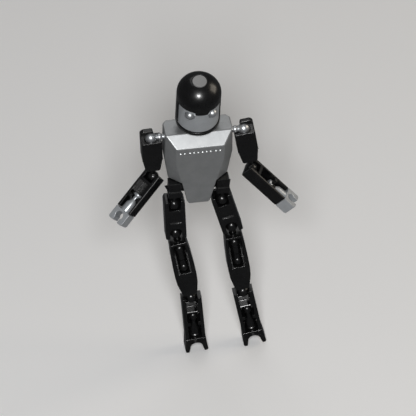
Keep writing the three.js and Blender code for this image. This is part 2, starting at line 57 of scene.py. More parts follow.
GAP = 0.3
WALL = 1.6
ARM_BALL, ARM_NECK = 3.0, 1.35
LEG_BALL, LEG_NECK = 3.2, 1.45
NECK_BALL = 3.4
TORSO_TOP, NECK_HEIGHT, NECK_BEAD = 47.5, 54.2, 39
SHOULDER_HEIGHT = 42
HIP_X, HIP_Y = 12.3, -6
UPPER_ARM, FOREARM = 26.5, 22
HIP_LINK, THIGH, SHIN, FOOT = 20.5, 49, 27.6, 9.8
FRONT, BACK, FLOOR = -3.6, 4, 2.9  # leg channels: open face, back face, inside of the back wall
CHANNEL = 3.1  # half the width of the leg channels
SOCKET = LEG_BALL + 0.35
SHAFT, LIMB_BEAD = 2.5, 2.8  # radii of the knee and ankle studs inside the thigh
HIP_BEAD = {"radius": 1.95, "height": 10.6}
SHOULDER_BORE = 1.75
HEAD_NOD = 8  # degrees that the head looks down


# ---- Limb frames --------------------------------------------------------------------------

def spot(joint):
    return Vector(JOINTS[joint]["pos_m"])


def axis(joint, sign=1):
    return sign * Vector(JOINTS[joint]["axis"])


def placed(origin, z, x):
    """Matrix from millimetres in a limb frame to metres in the object's frame."""
    z = z.normalized()
    y = z.cross(x).normalized()
    turn = Matrix((y.cross(z), y, z)).transposed().to_4x4()
    return Matrix.Translation(origin) @ turn @ Matrix.Scale(MM, 4)


TORSO_X = axis("left_shoulder_swivel", -1)
TORSO_Z = axis("neck_swivel")
HEAD_Z = Matrix.Rotation(radians(HEAD_NOD), 3, TORSO_X) @ TORSO_Z
PLACES = {
    "torso": placed(spot("neck_swivel") - TORSO_Z * NECK_HEIGHT * MM, TORSO_Z, TORSO_X),
    "neck": placed(spot("neck_swivel"), TORSO_Z, TORSO_X),
    "head": placed(spot("head_nod"), HEAD_Z, TORSO_X),
}
for s, side in SIDES.items():
    arm_z = axis(f"{s}_elbow_swivel", -side)
    arm_x = axis(f"{s}_shoulder_lift", -side).cross(arm_z)
    forearm_x, forearm_z = axis(f"{s}_elbow_bend", -1), axis(f"{s}_wrist_swivel", side)
    link_x, link_z = axis(f"{s}_hip_bend", -1), spot(f"{s}_hip_bend") - spot(f"{s}_knee_bend")
    thigh_x, thigh_z = axis(f"{s}_knee_bend"), axis(f"{s}_thigh_swivel", side)
    shin_x, shin_z = axis(f"{s}_ankle_bend", -1), axis(f"{s}_foot_swivel", side)
    PLACES |= {
        f"{s}_shoulder": placed(spot(f"{s}_shoulder_swivel"), TORSO_Z, TORSO_X),
        f"{s}_upper_arm": placed(spot(f"{s}_shoulder_lift"), arm_z, arm_x),
        f"{s}_elbow": placed(spot(f"{s}_elbow_swivel"), arm_z, arm_x),
        f"{s}_forearm": placed(spot(f"{s}_elbow_bend"), forearm_z, forearm_x),
        f"{s}_wrist": placed(spot(f"{s}_wrist_swivel"), forearm_z, forearm_x),
        f"{s}_hip": placed(spot(f"{s}_hip_swivel"), TORSO_Z, TORSO_X),
        f"{s}_hip_link": placed(spot(f"{s}_hip_bend"), link_z, link_x),
        f"{s}_knee": placed(spot(f"{s}_knee_bend"), thigh_z, thigh_x),
        f"{s}_ankle": placed(spot(f"{s}_ankle_swivel"), thigh_z, thigh_x),
        f"{s}_shin": placed(spot(f"{s}_ankle_bend"), shin_z, shin_x),
        f"{s}_foot": placed(spot(f"{s}_foot_swivel"), shin_z, shin_x),
    }


# ---- Solid modelling helpers --------------------------------------------------------------

def solid(bm):
    """Scene object of a closed bmesh."""
    bmesh.ops.recalc_face_normals(bm, faces=bm.faces)
    mesh = bpy.data.meshes.new("shape")
    bm.to_mesh(mesh)
    bm.free()
    body = bpy.data.objects.new("shape", mesh)
    bpy.context.scene.collection.objects.link(body)
    return body


def soften(bm, width, segments, least_angle):
    """Rounds the edges whose faces meet at more than least_angle degrees."""
    edges = [e for e in bm.edges if e.calc_face_angle(0) > radians(least_angle)]
    bmesh.ops.bevel(bm, geom=edges, offset=width, offset_type="OFFSET", segments=segments,
                    profile=0.5, affect="EDGES", clamp_overlap=False)


def block(xs, ys, zs, corner=0.0):
    """Box between two stations on each axis; corner rounds its four upright edges."""
    spans = [(min(pair), max(pair)) for pair in (xs, ys, zs)]
    bm = bmesh.new()
    bmesh.ops.create_cube(bm, size=1)
    bmesh.ops.scale(bm, vec=[high - low for low, high in spans], verts=bm.verts)
    bmesh.ops.translate(bm, vec=[(low + high) / 2 for low, high in spans], verts=bm.verts)
    if corner:
        upright = [e for e in bm.edges if abs((e.verts[0].co - e.verts[1].co).normalized().z) > 0.9]
        bmesh.ops.bevel(bm, geom=upright, offset=corner, offset_type="OFFSET", segments=4,
                        profile=0.5, affect="EDGES", clamp_overlap=False)
    return solid(bm)


TURNS = {
    "x": Matrix.Rotation(radians(90), 3, "Y"),
    "y": Matrix.Rotation(radians(-90), 3, "X"),
    "z": Matrix.Identity(3),
}


def rod(along, radii, start, end, at=(0, 0), sides=48):
    """Cylinder or cone along an axis between two stations; at is its place on the other two axes."""
    first, last = radii if isinstance(radii, tuple) else (radii, radii)
    if end < start:
        start, end, first, last = end, start, last, first
    bm = bmesh.new()
    bmesh.ops.create_cone(bm, cap_ends=True, segments=sides, radius1=first, radius2=last, depth=end - start)
    bmesh.ops.translate(bm, vec=(0, 0, (start + end) / 2), verts=bm.verts)
    bmesh.ops.rotate(bm, cent=(0, 0, 0), matrix=TURNS[along], verts=bm.verts)
    offset = {"x": (0, *at), "y": (at[0], 0, at[1]), "z": (*at, 0)}[along]
    bmesh.ops.translate(bm, vec=offset, verts=bm.verts)
    return solid(bm)


def ball(radius, centre=(0, 0, 0), sides=40):
    bm = bmesh.new()
    bmesh.ops.create_uvsphere(bm, u_segments=sides, v_segments=sides // 2, radius=radius)
    bmesh.ops.translate(bm, vec=centre, verts=bm.verts)
    return solid(bm)


def turned(profile, sides=64, closed_by_axis=True):
    """Solid of revolution about Z from (radius, z) points; without the axis the profile is a ring."""
    points = list(profile)
    if closed_by_axis:
        (first, bottom), (last, top) = points[0], points[-1]
        points = [(0, bottom)] * (first > 0) + points + [(0, top)] * (last > 0)
    bm = bmesh.new()
    rows = []
    for radius, z in points:
        if radius == 0:
            rows.append([bm.verts.new((0, 0, z))])
            continue
        angles = [2 * math.pi * i / sides for i in range(sides)]
        rows.append([bm.verts.new((radius * math.cos(a), radius * math.sin(a), z)) for a in angles])
    pairs = list(zip(rows, rows[1:])) + ([] if closed_by_axis else [(rows[-1], rows[0])])
    for low, high in pairs:
        for i in range(sides):
            j = (i + 1) % sides
            loop = [low[i % len(low)], low[j % len(low)], high[j % len(high)], high[i % len(high)]]
            bm.faces.new(list(dict.fromkeys(loop)))
    return solid(bm)


def prism(outline, start, end, plane="xz"):
    """Outline in X and Z (or Y and Z) extruded along the third axis."""
    lift = {"xz": lambda a, b, t: (a, t, b), "yz": lambda a, b, t: (t, a, b)}[plane]
    bm = bmesh.new()
    near = [bm.verts.new(lift(a, b, start)) for a, b in outline]
    far = [bm.verts.new(lift(a, b, end)) for a, b in outline]
    bm.faces.new(near)
    bm.faces.new(far[::-1])
    for i in range(len(outline)):
        j = (i + 1) % len(outline)
        bm.faces.new([near[i], near[j], far[j], far[i]])
    return solid(bm)


def hull(points):
    bm = bmesh.new()
    for point in points:
        bm.verts.new(point)
    found = bmesh.ops.convex_hull(bm, input=bm.verts)
    inner = {v for v in found["geom_interior"] + found["geom_unused"] if isinstance(v, bmesh.types.BMVert)}
    bmesh.ops.delete(bm, geom=list(inner), context="VERTS")
    return solid(bm)


def combined(body, tools, operation):
    """body after a boolean with every tool; the tools are used up."""
    for tool in tools:
        modifier = body.modifiers.new("boolean", "BOOLEAN")
        modifier.operation = operation
        modifier.solver = "MANIFOLD"
        modifier.object = tool
    graph = bpy.context.evaluated_depsgraph_get()
    mesh = bpy.data.meshes.new_from_object(body.evaluated_get(graph))
    body.modifiers.clear()
    body.data = mesh
    for tool in tools:
        bpy.data.objects.remove(tool)
    return body


def join(body, *tools):
    return combined(body, tools, "UNION")


def cut(body, *tools):
    return combined(body, tools, "DIFFERENCE")


def common(body, *tools):
    return combined(body, tools, "INTERSECT")


def rounded(body, width, segments=2, least_angle=35):
    """body with flat faces merged and its edges rounded."""
    bm = bmesh.new()
    bm.from_mesh(body.data)
    bmesh.ops.remove_doubles(bm, verts=bm.verts, dist=0.01)
    bmesh.ops.dissolve_limit(bm, angle_limit=radians(0.6), verts=bm.verts, edges=bm.edges,
                             use_dissolve_boundaries=False)
    soften(bm, width, segments, least_angle)
    bm.to_mesh(body.data)
    bm.free()
    return body


def both_sides(points):
    """Points with their mirror images across x = 0."""
    return [(sign * x, y, z) for x, y, z in points for sign in (1, -1)]


def mirrored(half):
    """Right half of an outline, from the bottom up, mirrored to both sides of x = 0."""
    return [*half, *[(-x, z) for x, z in reversed(half)]]


def arc(centre, radius, start, end, steps=12):
    """Points of an arc, in degrees, with both ends."""
    angles = [radians(start + (end - start) * i / steps) for i in range(steps + 1)]
    return [(centre[0] + radius * math.cos(a), centre[1] + radius * math.sin(a)) for a in angles]


# ---- Torso --------------------------------------------------------------------------------

KINK, WAIST = 31.8, 16.5
SPLIT = 0.03  # each shell stops this far from the parting plane
BOSS_BOTTOM = 6.9
SCREWS = [(-9.5, 35.6), (9.5, 35.6), (-9.5, 22.6), (9.5, 22.6)]


def chest_levels(shrink):
    """Corners of the torso's front half, level by level."""
    s = shrink
    return {
        "top": [(17.1 - s, -5 + s, TORSO_TOP - s)],
        "bevel": [(12.2 - s * 0.5, -11.2 + s, TORSO_TOP - 5.3 - s * 0.4)],
        "kink": [(17.3 - s, -4.6 + s * 0.4, KINK), (12.1 - s * 0.5, -10.3 + s, KINK)],
        "waist": [(15.1 - s, -3.8 + s * 0.4, WAIST), (8.9 - s * 0.5, -9.1 + s, WAIST)],
    }


def chest_block(shrink, parting):
    level = chest_levels(shrink)
    edge = {name: [(level[name][0][0], parting, level[name][0][2])] for name in level}
    upper = level["top"] + level["bevel"] + level["kink"] + edge["top"] + edge["kink"]
    lower = level["kink"] + level["waist"] + edge["kink"] + edge["waist"]
    return join(hull(both_sides(upper)), hull(both_sides(lower)))


def back_block(shrink, parting):
    s = shrink
    levels = [
        [(17.1 - s, 4 - s, TORSO_TOP - s), (15.2 - s, 6 - s, TORSO_TOP - s)],
        [(17.3 - s, 3.8 - s, KINK), (14.6 - s, 6.6 - s, KINK)],
        [(15.1 - s, 2.6 - s, WAIST), (12 - s, 5.6 - s, WAIST)],
    ]
    levels = [[*corners, (corners[0][0], parting, corners[0][2])] for corners in levels]
    return join(hull(both_sides(levels[0] + levels[1])), hull(both_sides(levels[1] + levels[2])))


def stud_holes():
    """Holes along the parting plane for the shoulder studs and the neck stud."""
    return [
        rod("x", SHOULDER_BORE, -20, 20, (0, SHOULDER_HEIGHT)),
        rod("z", 2.4, TORSO_TOP - 4, TORSO_TOP + 1),
    ]


PIPS = [-10, -7.9, -5.2, -3.2, -1.1, 1.1, 3.2, 5.2, 7.9, 10]  # raised marks below the bevel


def torso_skin():
    """Outside of the whole torso with softly rounded corners, before it is parted into two shells."""
    shield = hull(both_sides([
        (9.5, -9.25, 20), (9.5, -4.8, 20), (6, -8.5, 3.0), (6, -5.4, 3.0), (4.9, -8.5, 1.2), (4.9, -5.4, 1.2),
    ]))
    apron = hull(both_sides([
        (12, 5.55, 20), (12, 4, 20), (8, 5, 9), (8, 3.8, 9), (7.4, 4.8, 8), (7.4, 3.8, 8),
    ]))
    core = rounded(join(chest_block(0, 0), back_block(0, 0)), 0.6, 4, 9)
    return join(core, rounded(shield, 0.4, 3, 9), rounded(apron, 0.4, 3, 9))


def screw_posts(y0, y1):
    return [rod("y", 2.2, y0, y1, at, 32) for at in SCREWS]


def chest_shell():
    hollow = join(
        chest_block(WALL, 1),
        block((-13.2, 13.2), (-3.4, 1), (15, 18)),
        block((-8.6, 8.6), (-4.5, 1), (15, 19.5)),
    )
    skin = common(torso_skin(), block((-20, 20), (-20, -SPLIT), (0, 60)))
    pip_side = [(-10.2, 40.2), (-11.45, 39.1), (-11.45, 38.5), (-10.2, 38)]
    pips = [rounded(prism(pip_side, x - 0.55, x + 0.55, "yz"), 0.15) for x in PIPS]
    posts = common(join(*screw_posts(-9.0, -SPLIT)), chest_block(0.4, 0))
    shell = join(cut(skin, hollow), posts, *pips)
    return cut(shell, *[rod("y", 1.1, -7, 1, at, 24) for at in SCREWS], *stud_holes())


def back_shell():
    hollow = join(back_block(WALL, -1), block((-13.2, 13.2), (-1, 3.8), (15, 18)))
    skin = common(torso_skin(), block((-20, 20), (SPLIT, 20), (0, 60)))
    posts = common(join(*screw_posts(SPLIT, 5.5)), back_block(0.4, 0))
    bores = [rod("y", 1.1, -1, 8, at, 24) for at in SCREWS] + [rod("y", 1.9, 4.7, 9, at, 32) for at in SCREWS]
    return cut(join(cut(skin, hollow), posts), *bores, *stud_holes())


def spine_frame():
    bosses = []
    for x in (-HIP_X, HIP_X):
        bosses += [
            block((x - 3.1, x + 3.1), (HIP_Y - 2.9, HIP_Y + 2.7), (BOSS_BOTTOM, 16.1), 0.5),
            block((x - 3.3, x + 3.3), (HIP_Y - 3.5, HIP_Y + 2.7), (BOSS_BOTTOM, 10.7), 0.5),
            block((x, x * 0.5), (-4.2, -1), (BOSS_BOTTOM, 16.1)),
        ]
    body = join(
        block((-11.3, 11.3), (-2.9, 2.9), (39.4, 44.4)),
        block((-4.5, 4.5), (-1.9, 1.9), (19, 41)),
        block((-8.2, 8.2), (-4.1, 3.4), (6.2, 19.2)),
        *bosses,
    )
    bores = [rod("z", 2.1, 35.5, 45), ball(2.75, (0, 0, NECK_BEAD), 24)]
    for side in SIDES.values():
        bores += [
            rod("x", SHOULDER_BORE, side * 7, side * 14, (0, SHOULDER_HEIGHT)),
            rod("z", LEG_NECK + GAP, 0, 13.4, (side * HIP_X, HIP_Y)),
            ball(HIP_BEAD["radius"] + 0.4, (side * HIP_X, HIP_Y, HIP_BEAD["height"]), 24),
        ]
    return rounded(cut(body, *bores), 0.2, 3)


def back_screw():
    head = join(rod("y", 0.8, -6.6, 5.2, sides=24), rod("y", 1.55, 5, 5.8, sides=32))
    slot = block((-1.1, 1.1), (5.45, 7), (-0.2, 0.2))
    cross = block((-0.2, 0.2), (5.45, 7), (-1.1, 1.1))
    return rounded(cut(head, slot, cross), 0.06)


def shoulder_stud(side):
    return rounded(join(
        ball(ARM_BALL),
        rod("x", 1.4, 0, -side * 15.3),
        ball(1.85, (-side * 4.4, 0, 0), 32),
        rod("x", 2.6, -side * 10.3, -side * 11.5),
    ), 0.15)


# ---- Head ---------------------------------------------------------------------------------

HEAD = {"radius": 11.2, "bottom": -2.2, "side": 21, "dome": 9.3, "inner": 10}
FACE_RADIUS, FACE_WALL, FACE_PAD = 9.7, 1.4, 10.6
EYE = {"radius": 2.45, "x": 5.65, "y": -8.3, "z": 11.6}


def capsule(radius, bottom, shoulder, dome):
    steps = 18
    turn = [math.pi / 2 * i / steps for i in range(steps)]
    sweep = [(radius * math.cos(a), shoulder + dome * math.sin(a)) for a in turn]
    return turned([(radius, bottom), *sweep, (0, shoulder + dome)], 96)


def helmet_shell():
    bottom, shoulder = HEAD["bottom"], HEAD["bottom"] + HEAD["side"]
    crown = shoulder + HEAD["dome"]
    window = mirrored([
        (12, bottom + 1.7), (12, bottom + 18), (4.4, bottom + 18), (3.6, bottom + 17.6), (3.1, bottom + 16),
    ])
    return rounded(cut(
        capsule(HEAD["radius"], bottom, shoulder, HEAD["dome"]),
        capsule(HEAD["inner"], bottom - 1, shoulder, HEAD["dome"] - 3),
        prism(window, -13, -2),
        rod("z", 3.9, crown - 1.4, crown + 1, sides=64),
        rod("z", 1.8, shoulder, crown),
    ), 0.22, 3)


def face_plate():
    low, high, inside = HEAD["bottom"] + 1.6, HEAD["bottom"] + 19.2, FACE_RADIUS - FACE_WALL
    wall = [(inside, low), (FACE_RADIUS, low), (FACE_RADIUS, high), (inside, high)]
    plate = cut(turned(wall, 96, False), block((-12, 12), (-0.9, 12), (-10, 30)))
    pad_low, pad_high = HEAD["bottom"] + 2, HEAD["bottom"] + 17.7
    pad = rounded(cut(
        turned([(9.2, pad_low), (FACE_PAD, pad_low), (FACE_PAD, pad_high), (9.2, pad_high)], 96, False),
        block((-12, 12), (-2.3, 12), (-10, 30)),
        block((-4.1, 4.1), (-13, -2), (HEAD["bottom"] + 15.7, 30)),
    ), 0.25, 3)
    sockets = [ball(EYE["radius"] + GAP, (side * EYE["x"], EYE["y"], EYE["z"])) for side in (1, -1)]
    return cut(join(plate, pad), *sockets)


def eye(side):
    """Ball eye on a flanged stem that points out of the head."""
    shape = join(ball(EYE["radius"], sides=48), rod("y", 1.5, 0, 2.6), rod("y", 2.6, 2.6, 3.5))
    turn = Matrix.Rotation(side * math.atan2(EYE["x"], -EYE["y"]), 4, "Z")
    shape.data.transform(Matrix.Translation((side * EYE["x"], EYE["y"], EYE["z"])) @ turn)
    return shape


def crown_plug():
    top = HEAD["bottom"] + HEAD["side"] + HEAD["dome"]
    edge = [(3.6, top - 1.1), (3.6, top - 0.45), (3.5, top - 0.25), (3.25, top - 0.14), (0, top - 0.1)]
    return join(turned(edge), rod("z", 1.5, top - 5, top - 1))


def neck_socket():
    bottom = HEAD["bottom"]
    return rounded(cut(
        join(rod("z", FACE_RADIUS, bottom, bottom + 1.3, sides=96), rod("z", 5.2, bottom, 5, sides=64)),
        ball(NECK_BALL + 0.35),
        rod("z", (3.4, 3.0), bottom - 0.1, bottom + 0.4),
    ), 0.15)


def neck_stud():
    top = TORSO_TOP - NECK_HEIGHT
    return rounded(join(
        ball(NECK_BALL), rod("z", 1.9, top, 0), rod("z", 3.4, top + GAP, top + 1.3),
        rod("z", 1.7, top - 11.5, top + 1), ball(2.3, (0, 0, NECK_BEAD - NECK_HEIGHT), 32),
    ), 0.15)


# ---- Arms ---------------------------------------------------------------------------------

def upper_arm(side):
    body = rounded(join(
        block((-5.2, 5.2), (-4, 4), (-12, -0.6), 0.8),
        hull(both_sides([
            (5.2, -3.2, -12), (5.2, 3.2, -12), (4.4, -4, -12), (4.4, 4, -12),
            (3.8, -2.8, -19.8), (3.8, 2.8, -19.8), (3, -3.6, -19.8), (3, 3.6, -19.8),
        ])),
    ), 0.35, 3, 40)
    levels = (((5.2, -1.5), (-0.5, 4), -3), ((5.2, -1.5), (-0.5, 3.2), 2.6), ((3.9, -1.1), (-0.5, 2.2), 4.6))
    hood = hull([(side * x, y, z) for xs, ys, z in levels for x in xs for y in ys])
    return cut(
        join(body, rounded(hood, 0.5, 4, 15)),
        ball(ARM_BALL + 0.35),
        block((-side, -side * 6), (-2.2, 2.2), (-2.7, 2)),
        rod("z", 2, -20, -11.3),
        ball(2.75, (0, 0, -15.5), 32),
    )


def elbow_stud():
    return rounded(join(
        ball(ARM_BALL), rod("z", ARM_NECK, 0, 8), rod("z", 1.65, 7.2, UPPER_ARM - 11.8),
        ball(2.35, (0, 0, UPPER_ARM - 15.5), 32),
    ), 0.15)


def forearm_channel():
    return rounded(cut(
        block((-4.7, 4.7), (-3.3, 4), (-FOREARM, 1.8), 0.8),
        block((-2.85, 2.85), (-4, 2.9), (-3, 2)),
        ball(ARM_BALL + 0.35),
        block((-3.35, 3.35), (-4, 2.9), (-13.2, -4.6)),
        block((-3.35, 3.35), (-4, 3.1), (-23, -15)),
        block((-1.65, 1.65), (-4, 0), (-15.2, -13)),
        rod("z", 1.65, -15.2, -13),
    ), 0.22, 3)


def hand_claw():
    claw = [
        (-4.5, -GAP), *arc((-3.3, -6.2), 1.2, 180, 270, 6), (-1.5, -7.4),
        *arc((0, -3.6), 2.1, 224.5, -44.5, 32),
        (1.5, -7.4), *arc((3.3, -6.2), 1.2, 270, 360, 6), (4.5, -GAP),
    ]
    return rounded(join(
        prism(claw, -3.3, 3.8),
        rod("z", (2.9, 2.6), -0.5, 4.4), rod("z", (2.6, ARM_NECK - 0.1), 4.4, 6.4),
        rod("z", ARM_NECK - 0.1, 6, 9.8), rod("z", 2.3, FOREARM - 12.7, FOREARM - 11.5),
    ), 0.24, 3)


# ---- Legs ---------------------------------------------------------------------------------

def hip_link():
    outline = mirrored([(5.3, -HIP_LINK - 1.5), (5.3, 2.4), (4.4, 4.2)])
    arch_top = -HIP_LINK + 2.4
    arch = [(-CHANNEL, -HIP_LINK - 3), (CHANNEL, -HIP_LINK - 3), *arc((0, arch_top), CHANNEL, 0, 180, 24)]
    return rounded(cut(
        common(prism(outline, FRONT, BACK), block((-5.3, 5.3), (FRONT, BACK), (-30, 10), 0.8)),
        block((-CHANNEL, CHANNEL), (FRONT - 1, FLOOR), (-2.1, 5)),
        ball(SOCKET),
        block((-CHANNEL, CHANNEL), (FRONT - 1, FRONT + 0.7), (-11.4, -4)),
        prism(arch, FRONT - 1, FLOOR),
        ball(SOCKET, (0, 0, -HIP_LINK)),
        block((-2.3, 2.3), (0, BACK + 1), (-HIP_LINK - 3, -HIP_LINK + 0.6)),
    ), 0.15, 3)


def hip_stud():
    bead = ball(HIP_BEAD["radius"], (0, 0, HIP_BEAD["height"]), 32)
    return join(ball(LEG_BALL), rod("z", LEG_NECK, 0, 12.8), bead)


LOWER_BEAD = -25.7  # bead of the ankle stud, below the knee ball


def knee_stud():
    bead, end, neck = -12.2, -18.9, LEG_NECK - 0.05  # the neck clears the hip link as the knee bends
    shaft = [(SHAFT - 0.2, end), (SHAFT, end + 0.2), (SHAFT, bead), (neck, bead + 1.2), (neck, 0)]
    return join(ball(LEG_BALL), turned(shaft, 48), ball(LIMB_BEAD, (0, 0, bead)))


def ankle_stud():
    bead = THIGH + LOWER_BEAD
    shaft = [(LEG_NECK, 0), (1.5, bead + 2.3), (SHAFT, bead + 3.2), (SHAFT, THIGH - 19.2)]
    return join(ball(LEG_BALL), turned(shaft, 48), ball(LIMB_BEAD, (0, 0, bead)))


def thigh_shell():
    profile = mirrored([
        (3.4, -THIGH + 5.1), (4.3, -39.9), (5.3, -34.4), (5.6, -29), (5.3, -17.5), (4.8, -9), (4.2, -5.3),
    ])
    return rounded(cut(
        prism(profile, -4.1, 4.1),
        block((-3.5, 3.5), (-6, FLOOR + 0.2), (-27.4, -6.8)),
        rod("z", LEG_NECK + 0.45, -8, -4), rod("z", LEG_NECK + 0.45, -THIGH, -27),
        ball(3.1, (0, 0, LOWER_BEAD)),
    ), 0.15, 3, 30)


def shin_channel():
    side_view = [(BACK, -SHIN), (BACK, -0.6), (1.8, 1.5), (FRONT, 1.5), (FRONT, -SHIN)]
    body = rounded(cut(
        common(block((-5.2, 5.2), (FRONT, BACK), (-SHIN, 1.5), 0.8), prism(side_view, -6, 6, "yz")),
        block((-CHANNEL, CHANNEL), (FRONT - 1, FLOOR), (-2.6, 3)),
        block((-3.4, 3.4), (FRONT - 1, FLOOR + 0.2), (-16.1, -8.8)),
        block((-3.4, 3.4), (FRONT - 1, FLOOR + 0.4), (-SHIN - 1, -18.3)),
        block((-1.9, 1.9), (FRONT - 1, 0), (-18.5, -15.9)),
        block((-2.3, 2.3), (0, BACK + 1), (-0.6, 3)),
    ), 0.15, 3)
    sill = [(FRONT + 0.18, -7.9), (FRONT - 1, -9.08)]  # its front edge is chamfered
    mouth = [(FRONT - 1, -2), (1.8, -2)]
    treads = [(1.8, -4.2), (0.1, -4.2), (0, -4.3), (0, -5.6), (-1.5, -5.6), (-1.6, -5.7), (-1.6, -7.9)]
    return cut(
        body,
        prism([*mouth, *treads, *sill], -CHANNEL, 1, "yz"),
        ball(SOCKET),
        rod("z", 1.9, -18.5, -15.9),
        prism([*mouth, (1.8, -7.9), *sill], 0.8, 2.2, "yz"),
    )


def foot_clip():
    bottom = -FOOT
    arch = (0, bottom + 3.2)
    fork = [
        (-5.2, -GAP), *arc((-4.8, bottom + 1.1), 1.1, 180, 270, 6), (-4, bottom),
        *arc(arch, 3.25, 180, 0, 24), (4, bottom),
        *arc((4.8, bottom + 1.1), 1.1, 270, 360, 6), (5.2, -GAP),
    ]
    ribs = [
        prism([*arc(arch, radius + 0.18, 40, 140, 16), *arc(arch, radius - 0.18, 140, 40, 16)],
              FRONT - 0.5, FRONT)
        for radius in (4.3, 5.2)
    ]
    bell = [  # ridge at the foot, then the shoulder of the bell and its neck
        (3, -0.5), (3, 0.6), (3.2, 0.9), (3.2, 1.7), (2.8, 2.1), (3, 3.6), (2.9, 5.2), (2.4, 6.6), (1.8, 8),
        (1.5, 9.2), (1.5, 13.7),
    ]
    return join(
        rounded(prism(fork, FRONT - 0.3, BACK - 0.3), 0.22, 3), *ribs, turned(bell, 48),
        ball(2.5, (0, 0, 13.7)),
    )


# ---- Materials ----------------------------------------------------------------------------

def material(name, colour, darker, metallic, roughness, spread, grain, wear, flake=0.0, coat=0.0):
    """Moulded plastic: mottled colour, uneven gloss, fine grain, and edges rubbed a little lighter.

    spread is how far the roughness varies, flake how far the metallic flakes vary in tone.
    """
    made = bpy.data.materials.new(name)
    made.use_nodes = True
    nodes, links = made.node_tree.nodes, made.node_tree.links
    shader = nodes["Principled BSDF"]
    shader.inputs["Metallic"].default_value = metallic
    shader.inputs["Coat Weight"].default_value = coat
    shader.inputs["Coat Roughness"].default_value = 0.14
    place = nodes.new("ShaderNodeTexCoord")
    per_mm = nodes.new("ShaderNodeMapping")
    per_mm.inputs["Scale"].default_value = (1 / MM,) * 3
    links.new(place.outputs["Object"], per_mm.inputs["Vector"])

    def noise(scale, detail):
        node = nodes.new("ShaderNodeTexNoise")
        node.inputs["Scale"].default_value = scale
        node.inputs["Detail"].default_value = detail
        links.new(per_mm.outputs["Vector"], node.inputs["Vector"])
        return node.outputs["Fac"]

    def ranged(value, low, high, to_low, to_high):
        node = nodes.new("ShaderNodeMapRange")
        for socket, number in zip(("From Min", "From Max", "To Min", "To Max"), (low, high, to_low, to_high)):
            node.inputs[socket].default_value = number
        links.new(value, node.inputs["Value"])
        return node.outputs["Result"]

    def mixed(factor, first, second, blend="MIX"):
        node = nodes.new("ShaderNodeMix")
        node.data_type, node.blend_type = "RGBA", blend
        for socket, given in ((0, factor), (6, first), (7, second)):
            if isinstance(given, bpy.types.NodeSocket):
                links.new(given, node.inputs[socket])
            else:
                node.inputs[socket].default_value = given if socket == 0 else (*given, 1)
        return node.outputs[2]

    cloudy = ranged(noise(0.22, 3), 0.35, 0.65, 0, 1)
    base = mixed(cloudy, darker, colour)
    if flake:
        cells = nodes.new("ShaderNodeTexVoronoi")
        cells.inputs["Scale"].default_value = 5.5
        links.new(per_mm.outputs["Vector"], cells.inputs["Vector"])
        sparkle = nodes.new("ShaderNodeSeparateColor")
        links.new(cells.outputs["Color"], sparkle.inputs["Color"])
        glint = ranged(sparkle.outputs["Red"], 0, 1, 1 - flake, 1 + flake)
        tint = nodes.new("ShaderNodeCombineColor")
        for channel in ("Red", "Green", "Blue"):
            links.new(glint, tint.inputs[channel])
        base = mixed(1.0, base, tint.outputs["Color"], "MULTIPLY")

    round_edge = nodes.new("ShaderNodeBevel")
    round_edge.samples = 4
    round_edge.inputs["Radius"].default_value = 0.35 * MM
    flat = nodes.new("ShaderNodeNewGeometry")
    alike = nodes.new("ShaderNodeVectorMath")
    alike.operation = "DOT_PRODUCT"
    links.new(round_edge.outputs["Normal"], alike.inputs[0])
    links.new(flat.outputs["Normal"], alike.inputs[1])
    at_edge = ranged(alike.outputs["Value"], 0.999, 0.88, 0, 1)
    patchy = ranged(noise(1.3, 4), 0.42, 0.62, 0, 1)
    rub = nodes.new("ShaderNodeMath")
    rub.operation = "MULTIPLY"
    links.new(at_edge, rub.inputs[0])
    links.new(patchy, rub.inputs[1])
    amount = ranged(rub.outputs["Value"], 0, 1, 0, wear)
    rubbed = tuple(min(1.0, c * 1.5 + 0.1) for c in colour)
    links.new(mixed(amount, base, rubbed), shader.inputs["Base Color"])
    gloss = ranged(noise(0.9, 5), 0.3, 0.7, roughness - spread, roughness + spread)
    links.new(gloss, shader.inputs["Roughness"])
    bump = nodes.new("ShaderNodeBump")
    bump.inputs["Strength"].default_value = grain
    bump.inputs["Distance"].default_value = 0.05 * MM
    links.new(noise(3.2, 3), bump.inputs["Height"])
    links.new(bump.outputs["Normal"], shader.inputs["Normal"])
    return made


FINISHES = {
    "black_plastic": material(
        "black plastic", (0.005, 0.005, 0.0052), (0.003, 0.003, 0.0032),
        metallic=0, roughness=0.30, spread=0.04, grain=0.05, wear=0.03, coat=0.4),
    "silver_shell": material(
        "silver shell", (0.41, 0.42, 0.425), (0.37, 0.38, 0.385),
        metallic=0.68, roughness=0.38, spread=0.04, grain=0.3, wear=0.15, flake=0.06),
    "bright_silver": material(
        "bright silver", (0.50, 0.52, 0.54), (0.46, 0.48, 0.50),
        metallic=0.5, roughness=0.34, spread=0.05, grain=0.3, wear=0.15, flake=0.05),
    "bright_balls": material(
        "bright balls", (0.72, 0.74, 0.76), (0.68, 0.70, 0.72),
        metallic=0.92, roughness=0.40, spread=0.03, grain=0.08, wear=0.05),
    "grey_plug": material(
        "grey plug", (0.28, 0.28, 0.28), (0.25, 0.25, 0.25),
        metallic=0, roughness=0.5, spread=0.08, grain=0.4, wear=0.2),
    "steel": material(
        "plated steel", (0.62, 0.61, 0.59), (0.5, 0.5, 0.49),
        metallic=1, roughness=0.28, spread=0.1, grain=0.5, wear=0.4),
}


# ---- Pieces -------------------------------------------------------------------------------

